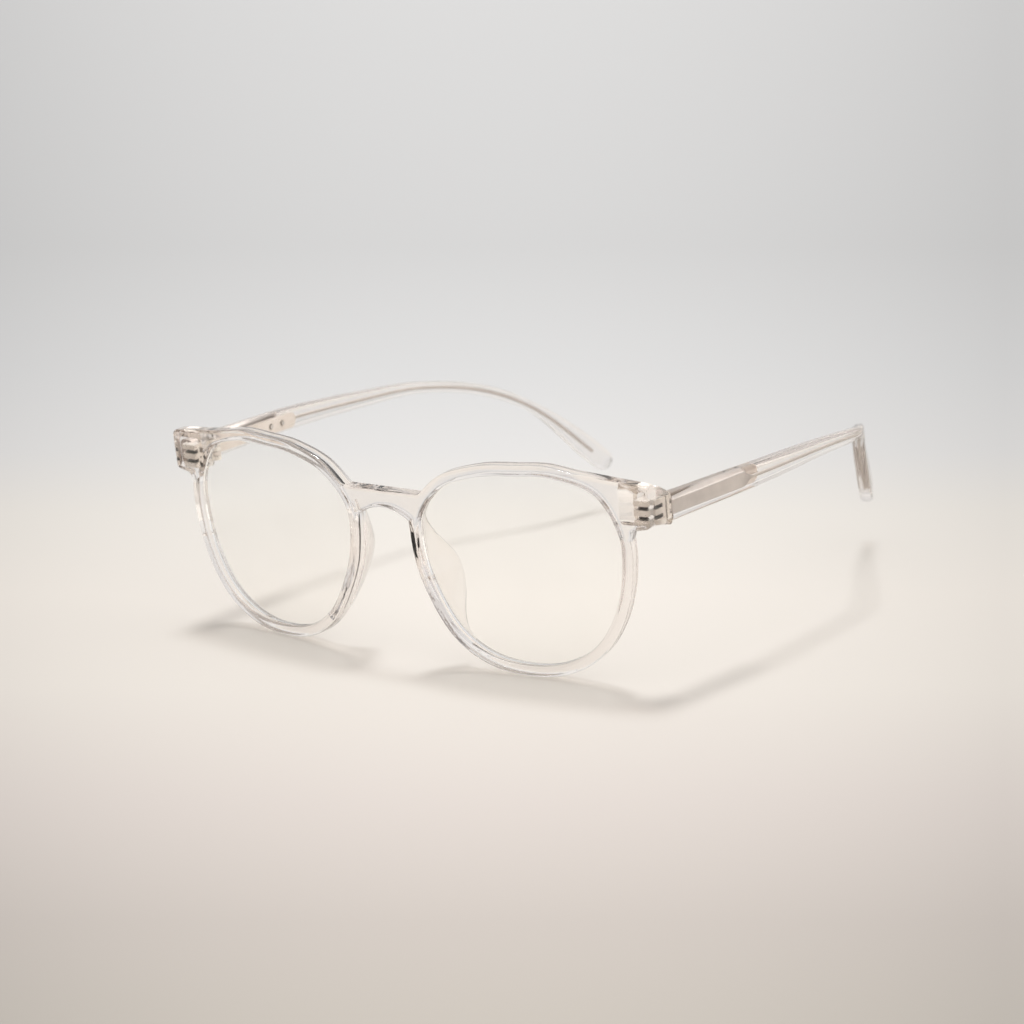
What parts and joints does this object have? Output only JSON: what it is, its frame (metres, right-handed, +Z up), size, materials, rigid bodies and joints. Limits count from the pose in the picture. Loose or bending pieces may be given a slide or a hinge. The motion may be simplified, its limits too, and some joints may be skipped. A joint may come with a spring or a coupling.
{
  "type": "blue light glasses",
  "caption": "Clear acetate keyhole-bridge glasses with lightly tinted blue-filter lenses and folding metal-cored temples.",
  "frame": {"origin": "middle of the front face of the bridge", "axes": "+Z up with the glasses standing open on their rims, -Y is the way the wearer looks, +X is the wearer's left"},
  "size_m": [0.1354, 0.1471, 0.0478],
  "materials": {
    "acetate": "polished, transparent",
    "lens": "polished, faint warm tint",
    "hinge_metal": "satin nickel",
    "core_metal": "satin",
    "screw_metal": "plain"
  },
  "bodies": {
    "front": {"front_frame": "acetate", "lens_left": "lens", "lens_right": "lens", "nose_pad_left": "acetate", "nose_pad_right": "acetate", "front_hinge_left": "hinge_metal", "front_hinge_right": "hinge_metal", "hinge_screw_left": "screw_metal", "hinge_screw_right": "screw_metal"},
    "left_temple": {"temple_left": "acetate", "temple_core_left": "core_metal", "temple_hinge_left": "hinge_metal", "leaf_rivet_left_1": "screw_metal", "leaf_rivet_left_2": "screw_metal"},
    "right_temple": {"temple_right": "acetate", "temple_core_right": "core_metal", "temple_hinge_right": "hinge_metal", "leaf_rivet_right_1": "screw_metal", "leaf_rivet_right_2": "screw_metal"}
  },
  "joints": [
    {"name": "fold_left", "type": "hinge", "parent": "front", "child": "left_temple", "pos_m": [0.0605, 0.01646, 0.00236], "axis": [0, -0.0854, 0.9963], "range_deg": [0, 78]},
    {"name": "fold_right", "type": "hinge", "parent": "front", "child": "right_temple", "pos_m": [-0.0605, 0.01646, 0.00236], "axis": [0, 0.0854, -0.9963], "range_deg": [0, 62]}
  ]
}
